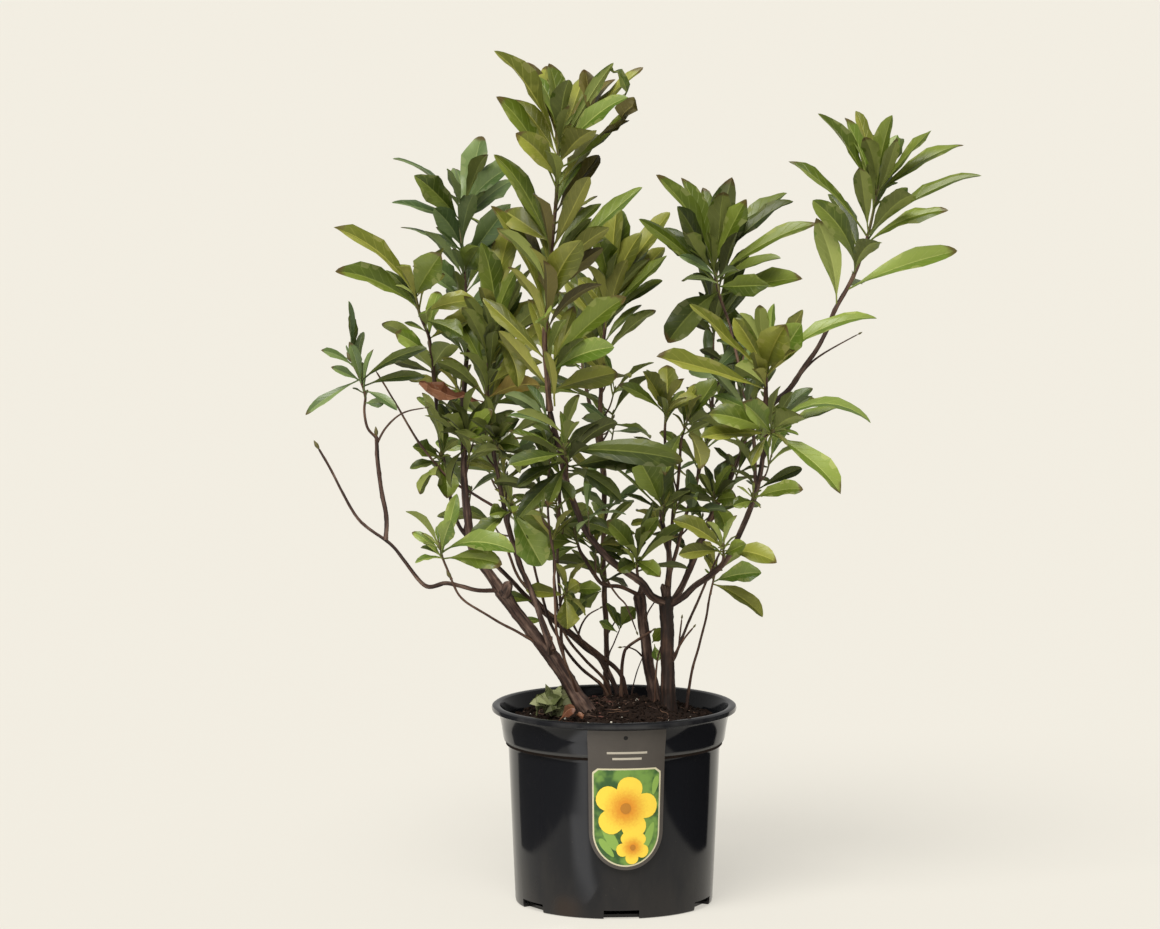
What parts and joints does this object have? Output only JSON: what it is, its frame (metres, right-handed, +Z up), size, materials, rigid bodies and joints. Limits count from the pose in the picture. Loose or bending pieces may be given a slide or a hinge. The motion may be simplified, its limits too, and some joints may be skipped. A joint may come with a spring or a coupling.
{
  "type": "azalea shrub in a nursery pot",
  "caption": "Leggy flowering garden shrub with bare lower stems and whorls of leaves at the shoot tips, growing in a round plastic nursery pot with soil and a hanging label.",
  "frame": {"origin": "centre of the pot's flat underside, at the mount foot", "axes": "+Z up, -Y towards the front where the label hangs, +X to the right as seen from the front"},
  "size_m": [0.623, 0.4184, 0.8042],
  "materials": {
    "pot": "satin",
    "soil": "matte",
    "label": "satin",
    "bark": "matte",
    "leaf": "satin"
  },
  "bodies": {
    "root": {"bough_back_left": "bark", "bough_back_middle": "bark", "bough_back_right": "bark", "bough_centre": "bark", "bough_high_right": "bark", "bough_left_low": "bark", "bough_left_upright": "bark", "bough_middle_left": "bark", "bough_red": "bark", "bough_right": "bark", "bough_right_inner": "bark", "foliage_back_left": "leaf", "foliage_back_middle": "leaf", "foliage_back_right": "leaf", "foliage_back_top": "leaf", "foliage_centre": "leaf", "foliage_centre_right": "leaf", "foliage_cross": "leaf", "foliage_front_stem": "leaf", "foliage_front_top": "leaf", "foliage_heart": "leaf", "foliage_heart_upper": "leaf", "foliage_high_right": "leaf", "foliage_inner_left": "leaf", "foliage_inner_mid": "leaf", "foliage_leader": "leaf", "foliage_left_inner_low": "leaf", "foliage_left_low": "leaf", "foliage_left_tip": "leaf", "foliage_left_top": "leaf", "foliage_low_left": "leaf", "foliage_low_middle": "leaf", "foliage_middle_back": "leaf", "foliage_red_stem": "leaf", "foliage_red_tip": "leaf", "foliage_right_back": "leaf", "foliage_right_crown": "leaf", "foliage_right_low": "leaf", "foliage_right_mid": "leaf", "foliage_right_middle": "leaf", "foliage_right_side": "leaf", "foliage_top": "leaf", "foliage_upper_left": "leaf", "label": "label", "leader_left": "bark", "pot": "pot", "soil": "soil", "stem_back": "bark", "stem_back_right": "bark", "stem_cross": "bark", "stem_fine": "bark", "stem_front": "bark", "stem_high_right": "bark", "stem_inner_left": "bark", "stem_red": "bark", "trunk_left": "bark", "trunk_middle": "bark", "trunk_right": "bark", "twig_left_low": "bark"}
  },
  "joints": []
}
